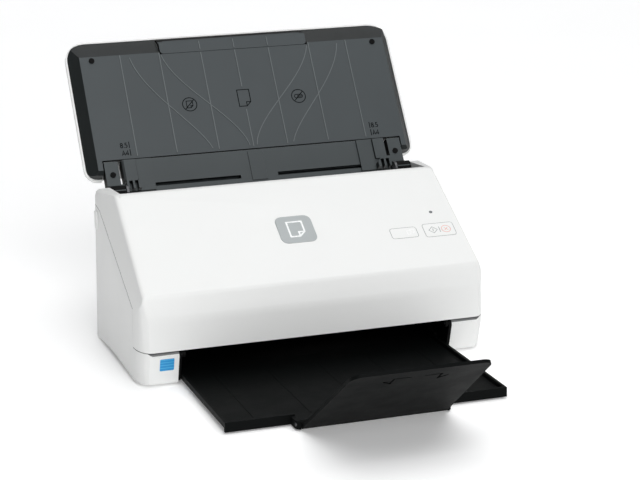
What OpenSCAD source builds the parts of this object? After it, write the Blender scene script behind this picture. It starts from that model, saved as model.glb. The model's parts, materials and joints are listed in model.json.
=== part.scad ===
// Sheet fed document scanner: a wedge-shaped case with a front cover that opens,
// a lid that leans back as the input tray, and an output tray that slides out below.
// Every sub-part is drawn where it sits with the trays open, the cover closed and the
// output stop raised. X runs across the case, Y to the back, Z up.

/* [Case] */
// Width of the case
case_w = 299; // [290:1:310]
// Depth of the case at its base
case_d = 172; // [168:1:180]
// Height of the front cover's upper edge
case_h = 139; // [137:0.5:141]
// Height of the rubber feet
foot_h = 2.5; // [2:0.5:3]
// Thickness of the outer shells
wall = 2.5; // [2:0.1:3]
// Gap between neighbouring shells
seam = 0.4; // [0.3:0.1:0.6]

/* [Front] */
// Height of the paper exit's upper edge
mouth_top = 31; // [30:0.5:32]
// Half width of the paper exit
mouth_x = 117.3; // [116:0.1:118]
// Top of the upright front band
band_z = 57.8; // [56:0.2:60]
// Angle of the sloping control panel from level
panel_angle = 31.75; // [30:0.25:33]
// Half width where the slanted side facets are 25 mm above the crease line
panel_x = 142; // [140:0.5:144]

/* [Input tray] */
// Angle the open tray leans back from upright
lean = 34.3; // [33:0.1:36]
// Half width of the tray's paper surface
tray_x = 141; // [138:0.5:143]
// Half width over the tray's rim
rim_x = 151; // [150:0.5:153]
// Length of the paper surface
tray_len = 98; // [94:1:100]
// Length from the foot of the paper surface to the tray's upper rim
rim_top = 118; // [116:1:120]
// Travel of the pull-out extension
extension_travel = 75; // [60:1:80]
// Half width between the paper guides
guide_x = 108; // [104:1:108]
// Travel of each paper guide
guide_travel = 78; // [60:1:80]

/* [Output tray] */
// Half width of the output tray
out_x = 114.6; // [113:0.1:115]
// Distance that the tray stands out of the case
out_len = 119; // [110:1:122]
// Travel of the output tray
out_travel = 124; // [110:1:126]
// Length of the flip-up stop
stop_len = 126; // [110:1:128]
// Angle of the raised stop above level
stop_angle = 34; // [30:1:40]

/* [Paper path] */
// Radius of the pick roller's tyres
pick_r = 14; // [13:0.5:14]
// Radius of the feed rollers' tyres
feed_r = 9; // [8:0.5:9]
// Radius of the roller shafts
shaft_r = 3; // [2.5:0.5:3]

/* [Hidden] */
$fn = 48;

fit = 0.05; // radial clearance of a running fit
eps = 0.02; // overlap that keeps a cut from leaving a skin

front_y = -case_d / 2;
rear_y = case_d / 2;
case_x = case_w / 2;
corner_x = 11; // how far the front corners round in from the sides
corner_y = 22; // and from the front face
rear_corner = 8;
base_set_back = 8; // the pillars' feet stand behind the front face
foot_top = mouth_top - 5; // where the pillars start to slope back
rear_lean = 18; // the back leans forward by this at shoulder_z
shoulder_z = 128;
ear_end_y = 67;
ear_x = 136;
panel_low = [front_y + 5, band_z + 19.1];
panel_top = [panel_low.x + (case_h - panel_low.y) / tan(panel_angle), case_h];
seam_y = -62; // where the cover's side seam turns down to the mouth
// the slanted side facets start on this line, which the side seam follows
crease_low = [seam_y - 4, 64];
crease_angle = 27.3;

// the paper path is one plane with the open tray's surface
path = [86.5, 155.5];
path_up = [sin(lean), cos(lean)];
path_out = [-cos(lean), sin(lean)];
function on_path(t, w) = path + t * path_up + w * path_out;

tray_axis = on_path(-35.2, 8.1);
cover_axis = [front_y + 3.5, mouth_top - 3.5];
stop_axis = [front_y - out_len - 13.6, 5];
stop_tip_y = stop_axis.x - stop_len * cos(stop_angle);
tray_back_y = on_path(rim_top, -15).x;
// the case stands behind the origin, which is below the middle of the whole object
case_y = -(stop_tip_y + tray_back_y) / 2;

frame_x = 120.8; // inner faces of the steel side frames
frame_t = 2;
deck_z = 16.5;
floor_z = foot_h + 1.8;

gear_x = frame_x + frame_t + 0.8;
gear_w = 5;
gear_teeth = 24;
idler_teeth = 12;
pick_teeth = 28;
pinch_r = 5;
separation_r = 10;
nip = 1.0; // how far a driven tyre stands through the path plane

pick_t = -74;
upper_t = -98;
lower_t = upper_t - 36;
sensor_t = -116;
pick_at = on_path(pick_t, nip - pick_r);
upper_at = on_path(upper_t, nip - feed_r);
lower_at = on_path(lower_t, nip - feed_r);
lower_idler_at = (upper_at + lower_at) / 2;
// the upper idler meshes with the upper feed gear and with the pick gear
span_pick = norm(pick_at - upper_at);
reach_feed = (gear_teeth + idler_teeth) / 2;
reach_pick = (pick_teeth + idler_teeth) / 2;
along_pick = (reach_feed ^ 2 - reach_pick ^ 2 + span_pick ^ 2) / (2 * span_pick);
pick_dir = (pick_at - upper_at) / span_pick;
upper_idler_at = upper_at + along_pick * pick_dir
    + sqrt(reach_feed ^ 2 - along_pick ^ 2) * [pick_dir.y, -pick_dir.x];
motor_at = upper_idler_at + idler_teeth * [cos(-75), sin(-75)];
motor_r = 14;

white = [0.90, 0.90, 0.89];
cool_white = [0.82, 0.83, 0.83];
slate = [0.30, 0.32, 0.33];
charcoal = [0.12, 0.12, 0.13];
steel = [0.62, 0.63, 0.65];

// ---- outlines and frames ----

function unit(v) = v / norm(v);
function left_of(a, b) = let(d = unit(b - a)) [-d.y, d.x];
// the corner b of an outline, moved by d to the left of its two edges
function mitre(a, b, c, d) =
    let(m = left_of(a, b), n = left_of(b, c)) b + d * (m + n) / (1 + m * n);
function inset(p, d) =
    [for (i = [0:len(p) - 1]) mitre(p[(i + len(p) - 1) % len(p)], p[i], p[(i + 1) % len(p)], d)];
function beside(p, d) =
    [for (i = [0:len(p) - 1])
        i == 0 ? p[0] + d * left_of(p[0], p[1])
        : i == len(p) - 1 ? p[i] + d * left_of(p[i - 1], p[i])
        : mitre(p[i - 1], p[i], p[i + 1], d)];
function reversed(p) = [for (i = [len(p) - 1:-1:0]) p[i]];
// the outline of a bent sheet with one face on the line p
function sheet(p, d) = concat(p, reversed(beside(p, d)));
function arc(c, rx, ry, a0, a1, n) =
    [for (i = [0:n]) let(a = a0 + (a1 - a0) * i / n) c + [rx * cos(a), ry * sin(a)]];

module in_case() translate([0, case_y, 0]) children();
// side view outlines (Y, Z), made solid from x0 to x1
module between(x0, x1) translate([x0, 0, 0]) rotate([90, 0, 90]) linear_extrude(x1 - x0) children();
module on_tray() in_case() translate([0, path.x, path.y]) rotate([90 - lean, 0, 0]) children();
module on_panel() in_case() translate([0, panel_low.x, panel_low.y]) rotate([panel_angle, 0, 0]) children();
module both() {
    children();
    mirror([1, 0, 0]) children();
}
module bar_x(at, r, x0, x1) translate([x0, at.x, at.y]) rotate([0, 90, 0]) cylinder(r = r, h = x1 - x0);
module block(low, high) translate(low) cube(high - low);
module rounded_plate(size, r, h) linear_extrude(h)
    polygon([for (k = [0:3]) let(
        sx = k == 0 || k == 3 ? 1 : -1,
        sy = k < 2 ? 1 : -1,
        c = [sx * (size.x / 2 - r), sy * (size.y / 2 - r)])
        each arc(c, r, r, 90 * k, 90 * k + 90, 5)]);

// ---- the case's outer form, less d all round ----

// a plan with its front edge on Y = 0 and two rounded corners, flaring a little to the back
function front_plan(rx, ry) = concat(
    [[case_x + 3, 300], [-case_x - 3, 300]],
    arc([rx - case_x, ry], rx, ry, 180, 270, 6),
    arc([case_x - rx, ry], rx, ry, 270, 360, 6));
function side_view() = [
    [rear_y + 60, foot_h], [rear_y + 60, shoulder_z], [rear_y - rear_lean, shoulder_z],
    [ear_end_y, shoulder_z + 4], [ear_end_y - 5, case_h - 3], panel_top, panel_low,
    panel_low + 1.6 * ([front_y, band_z] - panel_low), [front_y - 3, foot_h]];
function front_view() = concat(
    [[-case_x, -20], [case_x, -20]],
    arc([ear_x, case_h - 11.5], case_x - ear_x, 11.5, 0, 90, 6),
    arc([-ear_x, case_h - 11.5], case_x - ear_x, 11.5, 90, 180, 6));
// the section across the crease line, with its slanted side facets
function facet_section() = let(slope = (case_x - panel_x) / 25) [
    [-case_x - 10 * slope, -200], [case_x + 10 * slope, -200], [case_x + 10 * slope, -10],
    [case_x - 80 * slope, 80], [80 * slope - case_x, 80], [-case_x - 10 * slope, -10]];

foot_tilt = atan(base_set_back / (foot_top - foot_h));
rear_tilt = atan(rear_lean / (shoulder_z - foot_h));
// a tall plan that leans back from the line (Y, Z)
module leaning(at, tilt, turn, rx, ry, d) translate([0, at.x, at.y]) rotate([tilt, 0, 0]) rotate([0, 0, turn])
    translate([0, 0, -150]) linear_extrude(450) polygon(inset(front_plan(rx, ry), d));
module walls(d) intersection() {
    leaning([front_y, foot_top], 0, 0, corner_x, corner_y, d);
    leaning([front_y, foot_top], foot_tilt, 0, corner_x, corner_y * cos(foot_tilt), d);
    leaning([rear_y, foot_h], rear_tilt, 180, rear_corner, rear_corner, d);
}
// open_from: behind this line the form runs on down, with no floor
module case_form(d, open_from = 300) intersection() {
    walls(d);
    between(-200, 200) {
        polygon(inset(side_view(), d));
        translate([open_from, -1]) square([200, foot_h + wall + 2]);
    }
    translate([0, 200, 0]) rotate([90, 0, 0]) linear_extrude(400) polygon(inset(front_view(), d));
    translate([0, crease_low.x, crease_low.y]) rotate([crease_angle + 90, 0, 0])
        translate([0, 0, -300]) linear_extrude(500) polygon(inset(facet_section(), d));
}
// the case wall, open below behind the pillars
module shell() difference() {
    case_form(0);
    case_form(wall, seam_y + 1.6);
}

// what belongs to the cover, seen from the side
function cover_side() = [
    [front_y - 20, mouth_top], [seam_y, mouth_top], crease_low,
    [44, crease_low.y + (44 - crease_low.x) * tan(crease_angle)], [62, shoulder_z - 4.5],
    [100, shoulder_z - 4], [100, 200], [front_y - 20, 200]];

// ---- gears ----

// module 1, 25 degree pressure angle, short teeth with a little backlash
function involute(rb, r) =
    let(a = sqrt((r / rb) ^ 2 - 1) * 180 / PI, s = a - atan(sqrt((r / rb) ^ 2 - 1))) [r, s];
function tooth_edge(n, r) =
    let(rb = n / 2 * cos(25), q = involute(rb, max(r, rb * 1.0001)), p = involute(rb, n / 2),
        half = 90 / n - 0.12 * 180 / PI / (n / 2))
    half + p[1] - q[1];
function gear_outline(n, phase) =
    let(radii = [n / 2 - 1.05, n / 2 - 0.5, n / 2, n / 2 + 0.4, n / 2 + 0.8])
    [for (k = [0:n - 1], side = [-1, 1], i = [0:4])
        let(r = radii[side < 0 ? i : 4 - i], a = phase + k * 360 / n + side * tooth_edge(n, r))
        r * [cos(a), sin(a)]];
module gear(at, n, phase, x0, w, bore) difference() {
    translate([0, at.x, at.y]) between(x0, x0 + w) polygon(gear_outline(n, phase));
    bar_x(at, bore, x0 - 1, x0 + w + 1);
}
function bearing(a, b) = atan2(b.y - a.y, b.x - a.x);
// the phase that puts gear b in mesh with gear a
function meshed(a, na, phase, b, nb) =
    bearing(a, b) + 180 + 180 / nb - (phase - bearing(a, b)) * na / nb;
lower_phase = 0;
lower_idler_phase = meshed(lower_at, gear_teeth, lower_phase, lower_idler_at, idler_teeth);
upper_phase = meshed(lower_idler_at, idler_teeth, lower_idler_phase, upper_at, gear_teeth);
upper_idler_phase = meshed(upper_at, gear_teeth, upper_phase, upper_idler_at, idler_teeth);
pick_phase = meshed(upper_idler_at, idler_teeth, upper_idler_phase, pick_at, pick_teeth);
pinion_phase = meshed(upper_idler_at, idler_teeth, upper_idler_phase, motor_at, idler_teeth);
second_gear_x = gear_x + gear_w + 1;

// ---- base ----

foot_places = [for (x = [-134, 134], y = [-50, 66]) [x, y]];
board_top = 23.9;
power_x = -88;
usb_x = -58;
release_at = [57.5, 110];
screw_places = [for (x = [-128, 128], z = [20, 100]) [x, z]];

liner_x = out_x + 0.5;
// cuts the edge in front of and above the cover's hinge down to a rounding about it
module hinge_rounding(r) difference() {
    between(-200, 200) polygon([cover_axis, cover_axis + [0, 9], cover_axis + [-9, 9], cover_axis - [9, 0]]);
    bar_x(cover_axis, r, -201, 201);
}

module base_floor() color(charcoal) in_case() {
    difference() {
        intersection() {
            walls(wall + 2 * seam);
            block([-200, seam_y + 2, foot_h], [200, 200, floor_z]);
        }
        for (p = foot_places) translate([p.x, p.y, -1]) cylinder(r = 3 + fit, h = foot_h + 10);
        for (x = [-60:20:60]) block([x - 3, 30, -1], [x + 3, 70, 10]);
    }
    // rails that hold the output tray's edges down
    both() {
        block([liner_x, seam_y + 4, floor_z - eps], [mouth_x - 0.1, 76, 12.5]);
        block([out_x - 2.4, seam_y + 4, 10.6], [liner_x + eps, 76, 12.5]);
    }
    // dark liners inside the paper exit
    both() difference() {
        between(liner_x, mouth_x - 0.1) polygon([
            [front_y + base_set_back + 0.4, foot_h + 1.2], [seam_y + 12, foot_h + 1.2],
            [seam_y + 12, mouth_top - 0.6], [front_y + 0.4, mouth_top - 0.6], [front_y + 0.4, foot_top - 0.2]]);
        hinge_rounding(3.1);
        bar_x(cover_axis, 1.6, liner_x - 1, mouth_x);
    }
}

module rubber_feet() color(charcoal) in_case() for (p = foot_places) {
    translate([p.x, p.y, 0]) cylinder(r = 7, h = foot_h - eps);
    translate([p.x, p.y, 1]) cylinder(r = 3, h = floor_z - 1);
}

// the fixed case wall below the side seam, with a pillar each side of the paper exit
module side_shell() difference() {
    union() {
        shell();
        both() intersection() {
            union() {
                block([mouth_x, -200, 0], [mouth_x + wall, seam_y + 0.5, mouth_top]);
                block([mouth_x, -200, mouth_top - 3.5], [200, seam_y + 0.5, mouth_top]);
                block([mouth_x, -200, 0], [mouth_x + 9, cover_axis.x + 4, mouth_top]);
            }
            case_form(0.01);
        }
    }
    between(-200, 200) polygon(inset(cover_side(), -seam));
    block([-case_x + 12, seam_y, -1], [case_x - 12, 200, 200]);
    block([-mouth_x, -200, -1], [mouth_x, seam_y + 1, 200]);
    hinge_rounding(3.4);
    both() bar_x(cover_axis, 1.52, mouth_x - 1, mouth_x + 8);
    // shallow arch between the feet
    translate([-200, 5, foot_h + 2.5 - 900]) rotate([0, 90, 0]) cylinder(r = 900, h = 400, $fn = 360);
}

module screw_holes() for (p = screw_places) {
    translate([p.x, 0, p.y]) rotate([-90, 0, 0]) cylinder(r = 1.6, h = 100);
    translate([p.x, screw_seat(p.y), p.y]) rotate([-90, 0, 0]) cylinder(r = 3.2, h = 20);
}
function back_at(z) = rear_y - rear_lean * (z - foot_h) / (shoulder_z - foot_h);
function screw_seat(z) = back_at(z) - 1.8;

module side_panel_left() color(white) in_case() difference() {
    intersection() {
        side_shell();
        block([-200, -200, -1], [0, 200, 200]);
    }
    translate([-case_x - 1, release_at.x, release_at.y]) rotate([0, 90, 0])
        rounded_plate([16.6, 9.6], 3, wall + 4);
}
module side_panel_right() color(white) in_case() intersection() {
    side_shell();
    block([0, -200, -1], [200, 200, 200]);
}

module rear_cover() color(white) in_case() difference() {
    intersection() {
        shell();
        block([-case_x + 12 + seam, 55, 0], [case_x - 12 - seam, 200, 116]);
    }
    translate([power_x, 60, board_top + 6]) rotate([-90, 0, 0]) cylinder(r = 5, h = 40);
    block([usb_x - 6.6, 60, board_top - 0.6], [usb_x + 6.6, 100, board_top + 12.2]);
    for (i = [0:11]) block([4 + 8 * i, 60, 40], [8 + 8 * i, 100, 64]);
    screw_holes();
}
// the rear cover's screws, in bosses inside it
module case_screws() color(steel) in_case() for (p = screw_places) {
    translate([p.x, screw_seat(p.y), p.y]) rotate([-90, 0, 0]) difference() {
        cylinder(r = 2.9, h = 1.5);
        for (a = [0, 90]) rotate([0, 0, a]) translate([-1.8, -0.4, 0.8]) cube([3.6, 0.8, 2]);
    }
    translate([p.x, screw_seat(p.y) - 10, p.y]) rotate([-90, 0, 0]) cylinder(r = 1.5, h = 10.2);
}

module mid_deck() color(slate) in_case() {
    difference() {
        block([-frame_x + seam, 2, deck_z], [frame_x - seam, 76, deck_z + 1.8]);
        block([-40, 50, deck_z - 1], [-10, 60, deck_z + 4]);
    }
    for (x = [-105, 40], y = [36, 68]) translate([x, y, deck_z + 1])
        cylinder(r = 3, h = board_top - 1.6 - deck_z - 1 - eps);
}

function frame_side() = concat(
    [[0, floor_z + 0.1], [76, floor_z + 0.1], [76, 40], [69, 80], [65.5, 104], [64, 118]],
    arc(tray_axis, 6.5, 6.5, -60, 190, 10),
    [[50, 118], [8, 56], [0, 30]]);

module side_frame(x) color(steel) in_case() difference() {
    between(x, x + frame_t) polygon(frame_side());
    bar_x(tray_axis, 3 + fit, x - 1, x + frame_t + 1);
    for (p = [pick_at, upper_at, lower_at]) bar_x(p, 5.02, x - 1, x + frame_t + 1);
    for (p = [lower_idler_at, upper_idler_at]) bar_x(p, 1.52, x - 1, x + frame_t + 1);
    bar_x(motor_at, 4.2, x - 1, x + frame_t + 1);
}
module side_frame_left() side_frame(-frame_x - frame_t);
module side_frame_right() side_frame(frame_x);

pick_xs = [-22, 22];
feed_xs = [-62, -22, 22, 62];
tyre_w = 18;
flag_at = on_path(-50, -7);

function lower_line() = concat(
    [on_path(-40, 0), on_path(-141, 0)],
    arc(on_path(-141, 26), 26, 26, -lean - 5, -75, 5),
    [[-34, 22.2]]);

module lower_guide() color(slate) in_case() {
    difference() {
        between(-118, 118) polygon(sheet(lower_line(), 1.8));
        for (x = pick_xs) roller_window(pick_at, pick_r, x);
        for (x = feed_xs, p = [upper_at, lower_at]) roller_window(p, feed_r, x);
        along_path([-112.5, sensor_t - 9.5, -4], [112.5, sensor_t + 9.5, 4]);
        along_path([84, -60, -4], [92, -46, 4]);
        for (x = [pick_at, upper_at, lower_at]) bar_x(x, shaft_r + 1, -119, 119);
    }
    for (x = [81.2, 93]) difference() {
        along_path([x, -54, -9.5], [x + 1.8, -46, -1]);
        bar_x(flag_at, 1.25, 80, 96);
    }
}
module roller_window(at, r, x) bar_x(at, r + 0.8, x - tyre_w / 2 - 0.8, x + tyre_w / 2 + 0.8);
// a block in the path's own directions: across, up the path and out of it
module along_path(low, high) translate([0, path.x, path.y]) rotate([90 - lean, 0, 0]) block(low, high);

module rear_sensor_bar() color(charcoal) in_case() difference() {
    along_path([-112, sensor_t - 9, -15], [112, sensor_t + 9, -0.6]);
    along_path([-108.2, sensor_t - 7.2, -2], [108.2, sensor_t + 7.2, 0]);
}
module rear_sensor_glass() color([0.75, 0.82, 0.84]) in_case()
    along_path([-108, sensor_t - 7, -2 + eps], [108, sensor_t + 7, -0.5]);

module main_board() color([0.10, 0.32, 0.18]) in_case() {
    block([-112, 30, board_top - 1.6], [62, 74, board_top]);
    for (p = [[-20, 50], [14, 52], [-44, 48]])
        block([p.x - 8, p.y - 8, board_top - eps], [p.x + 8, p.y + 8, board_top + 1.8]);
    for (x = [34, 44, 54]) translate([x, 62, board_top - eps]) cylinder(r = 3.5, h = 7);
}
module power_socket() color(charcoal) in_case() difference() {
    union() {
        block([power_x - 6, 64, board_top + eps], [power_x + 6, 75, board_top + 12]);
        translate([power_x, 70, board_top + 6]) rotate([-90, 0, 0]) cylinder(r = 4.7, h = 12.5);
    }
    translate([power_x, 74, board_top + 6]) rotate([-90, 0, 0]) difference() {
        cylinder(r = 2.9, h = 20);
        cylinder(r = 1, h = 8);
    }
}
module usb_socket() color(steel) in_case() difference() {
    block([usb_x - 6, 64, board_top + eps], [usb_x + 6, 82.5, board_top + 11]);
    block([usb_x - 4.6, 70, board_top + 1.4], [usb_x + 4.6, 90, board_top + 9.6]);
    for (s = [-1, 1]) translate([usb_x + s * 6, 60, board_top + 11]) rotate([0, 45, 0])
        cube([2.4, 60, 2.4], center = true);
}

module shaft_bushes() color([0.85, 0.83, 0.74]) in_case() both()
    for (p = [pick_at, upper_at, lower_at]) difference() {
        union() {
            bar_x(p, 5, frame_x - 0.5, frame_x + frame_t);
            bar_x(p, 6.5, frame_x - 1.5, frame_x - eps);
        }
        bar_x(p, shaft_r + fit, frame_x - 3, frame_x + frame_t + 1);
    }

module cover_hinge_pins() color(steel) in_case() both() bar_x(cover_axis, 1.5, liner_x - 3, mouth_x + 7.9);

module motor() color(steel) in_case() difference() {
    union() {
        bar_x(motor_at, motor_r, frame_x - 32, frame_x - eps);
        bar_x(motor_at, 4.15, frame_x - 1, frame_x + frame_t);
        bar_x(motor_at, 5, frame_x - 35, frame_x - 31);
    }
    bar_x(motor_at, 1.5 + fit, frame_x - 8, frame_x + 5);
}
module motor_pinion() color([0.80, 0.66, 0.36]) in_case() {
    gear(motor_at, idler_teeth,
        meshed(upper_idler_at, idler_teeth, upper_idler_phase, motor_at, idler_teeth), gear_x, gear_w, 1.4);
    bar_x(motor_at, 1.5, frame_x - 7, gear_x + gear_w + 1);
}

module roller(at, r, xs, w, shaft, x0, x1) {
    bar_x(at, shaft, x0, x1);
    for (x = xs) bar_x(at, r, x - w / 2, x + w / 2);
}
module driven_roller(at, r, xs, teeth, phase, x) {
    roller(at, r, xs, tyre_w, shaft_r, -frame_x - frame_t - 2, x + gear_w + 1);
    gear(at, teeth, phase, x, gear_w, shaft_r - 0.1);
}
module pick_roller() color(charcoal) in_case()
    driven_roller(pick_at, pick_r, pick_xs, pick_teeth, pick_phase, second_gear_x);
module upper_feed_roller() color(charcoal) in_case()
    driven_roller(upper_at, feed_r, feed_xs, gear_teeth, upper_phase, gear_x);
module lower_feed_roller() color(charcoal) in_case()
    driven_roller(lower_at, feed_r, feed_xs, gear_teeth, lower_phase, gear_x);
module lower_idler_gear() color(white) in_case()
    gear(lower_idler_at, idler_teeth, lower_idler_phase, gear_x, gear_w, 1.5 + fit);
module upper_idler_gear() color(white) in_case()
    gear(upper_idler_at, idler_teeth, upper_idler_phase, gear_x, 2 * gear_w + 1, 1.5 + fit);
module gear_studs() color(steel) in_case() {
    bar_x(lower_idler_at, 1.5, frame_x + 0.1, gear_x + gear_w + 1);
    bar_x(upper_idler_at, 1.5, frame_x + 0.1, second_gear_x + gear_w + 1);
}

module paper_flag() color(charcoal) in_case() {
    bar_x(flag_at, 1.2, 81, 95);
    difference() {
        along_path([86, -51.5, -8], [90, -48.5, 5]);
        along_path([80, -60, 3], [95, -50.2, 6]);
    }
}

module case_sticker() color([0.10, 0.35, 0.72]) in_case()
    translate([-127.3, front_y + 2.05, 20]) rotate([90 + atan(base_set_back / (mouth_top - 5 - foot_h)), 0, 0])
        translate([0, 0, 0.02]) rounded_plate([11.8, 11.4], 0.8, 0.15);

// ---- front cover ----

key_left = [90.8, 41.8];
key_left_size = [23.2, 11.6];
key_right = [122.5, 41.8];
key_right_size = [27, 15];
lamp_at = [121.9, 63.1];
badge_at = [0, 58.3];
badge_w = 31;

module on_panel_at(p) on_panel() translate([p.x, p.y, 0]) children();

module front_cover() color(white) {
    in_case() {
        difference() {
            intersection() {
                shell();
                between(-200, 200) polygon(inset(cover_side(), seam / 2));
            }
            block([-ear_x, panel_top.x + 3, 60], [ear_x, 200, 200]);
            translate([0, panel_low.x, panel_low.y]) rotate([panel_angle, 0, 0]) {
                translate([key_left.x, key_left.y, -5]) rounded_plate(key_left_size + [0.5, 0.5], 2.45, 10);
                translate([key_right.x, key_right.y, -5]) rounded_plate(key_right_size + [0.5, 0.5], 2.45, 10);
                translate([lamp_at.x, lamp_at.y, -5]) cylinder(r = 1.55, h = 10);
                translate([badge_at.x, badge_at.y, -0.6]) rounded_plate([badge_w + 0.4, badge_w + 0.4], 6.2, 5);
            }
        }
        // the lip over the paper throat and the ears' inner walls
        between(-ear_x, ear_x) polygon([
            panel_top + [0.5, -2.4], panel_top + [3, -2.4], panel_top + [3, -9], panel_top + [1, -9]]);
        both() intersection() {
            case_form(0.01);
            between(ear_x, ear_x + wall) polygon(inset(cover_side(), seam / 2));
            block([0, panel_top.x, 0], [200, 200, 200]);
        }
    }
}

function cover_line() = [
    [-78, 33.5], [-30, 33.5], on_path(-141, 3), on_path(-62, 3), panel_top + [2.2, -9.6]];

module cover_frame() color(slate) in_case() difference() {
    union() {
        between(-116, 116) polygon(sheet(cover_line(), 1.8));
        both() between(113.6, 116) polygon([
            [-78, 33.6], [-30, 33.6], on_path(-141, 3.1), on_path(-62, 3.1), [21, 128],
            [14, 121], [-72, 67], [-79, 56]]);
        // hinge lugs behind the front wall
        both() {
            bar_x(cover_axis, 3, liner_x - 3.2, liner_x - 0.4);
            between(liner_x - 3.2, liner_x - 0.4) polygon([
                cover_axis + [-2, 1.5], cover_axis + [1.5, -1.5], [-77.8, 33.6], [-77.8, 42],
                [-82.6, 42], [-82.6, 31.5]]);
        }
    }
    bar_x(cover_axis, 1.5 + fit, -130, 130);
    for (x = pick_xs) roller_window(separation_at, separation_r, x);
    for (x = feed_xs, p = [upper_pinch_at, lower_pinch_at]) roller_window(p, pinch_r, x);
    along_path([-112.4, sensor_t - 9.4, 0], [112.4, sensor_t + 9.4, 8]);
    for (p = [separation_at, upper_pinch_at, lower_pinch_at]) {
        bar_x(p, 2 + fit, -120, 120);
        bar_x(p, 3, -113, 113);
    }
}
separation_at = on_path(pick_t, nip + separation_r + 0.1);
upper_pinch_at = on_path(upper_t, nip + pinch_r + 0.1);
lower_pinch_at = on_path(lower_t, nip + pinch_r + 0.1);

module front_sensor_bar() color(charcoal) in_case() difference() {
    along_path([-112, sensor_t - 9, 2], [112, sensor_t + 9, 16]);
    along_path([-108.2, sensor_t - 7.2, 1], [108.2, sensor_t + 7.2, 3.4]);
}
module front_sensor_glass() color([0.75, 0.82, 0.84]) in_case()
    along_path([-108, sensor_t - 7, 1.9], [108, sensor_t + 7, 3.4 - eps]);

module separation_roller() color(charcoal) in_case()
    roller(separation_at, separation_r, pick_xs, tyre_w, 2, -118, 118);
module upper_pinch_roller() color(white) in_case()
    roller(upper_pinch_at, pinch_r, feed_xs, tyre_w - 2, 2, -118, 118);
module lower_pinch_roller() color(white) in_case()
    roller(lower_pinch_at, pinch_r, feed_xs, tyre_w - 2, 2, -118, 118);

module control_board() color([0.10, 0.32, 0.18]) on_panel() {
    block([72, 30, -10], [140, 70, -8.4]);
    for (p = [key_left, key_right]) translate([p.x, p.y, -8.5]) cylinder(r = 1.8, h = 1.4);
}
module status_light() color([0.75, 0.85, 0.95]) on_panel_at([lamp_at.x, lamp_at.y]) {
    translate([0, 0, -8.4 + eps]) cylinder(r = 1.5, h = 8.55);
}
module badge_plate() color([0.62, 0.65, 0.68]) on_panel_at(badge_at)
    translate([0, 0, -0.6 + eps]) rounded_plate([badge_w, badge_w], 6, 0.9);

module key(p, size) color(cool_white) on_panel_at(p) {
    translate([0, 0, -wall - 1.2]) rounded_plate(size, 2.2, wall + 1.2 + 0.2);
    translate([0, 0, -wall - 1.4]) rounded_plate(size + [2.4, 2.4], 3.4, 0.9);
    translate([0, 0, -6]) cylinder(r = 2.5, h = 3);
}
module power_key() key(key_left, key_left_size);
module scan_key() key(key_right, key_right_size);

module release_button() color(cool_white) in_case()
    translate([-case_x - 1.2, release_at.x, release_at.y]) rotate([0, 90, 0]) {
        rounded_plate([16, 9], 2.8, wall + 2.4);
        translate([0, 0, wall + 1.4]) rounded_plate([18, 10.6], 3, 1.4);
    }

// ---- input tray ----

rim_low = -15; // the rim's lower corners come down beside the ears
bevel_w = -12;
tray_base = -13.4;

function tray_across(low) = let(x = rim_x - 2) [
    [-x, low], [x, low], [x, bevel_w], [tray_x, 0], [-tray_x, 0], [-x, bevel_w]];
function tray_along(low) = [
    [rim_low + 1.5, low], [rim_top - 1.8, low], [rim_top - 1.8, bevel_w], [tray_len, 0], [rim_low + 5, 0],
    [rim_low + 1.5, -3]];
function tray_outline(d, top_r, low_r) = concat(
    arc([rim_x - d - top_r, rim_top - d - top_r], top_r, top_r, 0, 90, 6),
    arc([top_r - rim_x + d, rim_top - d - top_r], top_r, top_r, 90, 180, 6),
    arc([low_r - rim_x + d, rim_low + d + low_r], low_r, low_r, 180, 270, 4),
    arc([rim_x - d - low_r, rim_low + d + low_r], low_r, low_r, 270, 360, 4));
module tray_form(d, low) intersection() {
    translate([0, 300, 0]) rotate([90, 0, 0]) linear_extrude(600) polygon(inset(tray_across(low), d));
    between(-200, 200) polygon(inset(tray_along(low), d));
    translate([0, 0, -60]) linear_extrude(100) polygon(tray_outline(1.7 + d, 16, 9));
}
// a rib whose middle line swings outwards as it climbs the tray
function rib_line(x0, dx, e) =
    [for (i = [0:16]) let(t = 2 + 5.8 * i) [x0 + dx * pow(sin(90 * t / 105), e), t]];
function rib_outline(p, w) = concat(beside(p, -w / 2), reversed(beside(p, w / 2)));

extension_x = 68;
rib_h = 0.35;
module input_tray_panel() color(slate) on_tray() {
    difference() {
        tray_form(0, tray_base);
        tray_form(2, tray_base - 20);
        block([-ear_x - 0.6, rim_low - 5, -30], [ear_x + 0.6, -1, 5]);
        block([-extension_x - 0.6, tray_len - 1.8, tray_base - 1], [extension_x + 0.6, 200, 5]);
    }
    // channel for the extension
    both() difference() {
        block([60.5, 10, -6.6], [67.2, tray_len - 2, -1.9]);
        block([58, 8, -4.9], [64.5, tray_len, -1.9 - eps]);
    }
    // low ribs that the sheets slide on
    both() {
        block([31, 1, -1], [31.8, tray_len - 2.4, rib_h]);
        for (x = [69.4, 104.9]) block([x - 0.4, 1, -1], [x + 0.4, tray_len - 0.3, rib_h]);
        translate([0, 0, -1]) linear_extrude(1 + rib_h) polygon(rib_outline(rib_line(36.5, 61, 1.4), 0.7));
        translate([0, 0, -1]) linear_extrude(1 + rib_h) polygon(rib_outline(rib_line(3, 66, 1.7), 0.7));
    }
    block([-0.4, 1, -1], [0.4, 37, rib_h]);
    block([-0.4, 59, -1], [0.4, tray_len - 2.4, rib_h]);
}

module input_tray_shell() color(white) on_tray() difference() {
    translate([0, 0, -15.5]) linear_extrude(4) polygon(tray_outline(0, 18, 11));
    translate([0, 0, tray_base - eps]) linear_extrude(10) polygon(tray_outline(1.6, 16.4, 9.4));
    // clear of the ears and of the carrier
    block([-ear_x - 0.6, rim_low - 5, -30], [ear_x + 0.6, -13, 5]);
}

rack_w = [-5.6, -3];
pinion_t = -14;
axle_w = 8.1;

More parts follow.
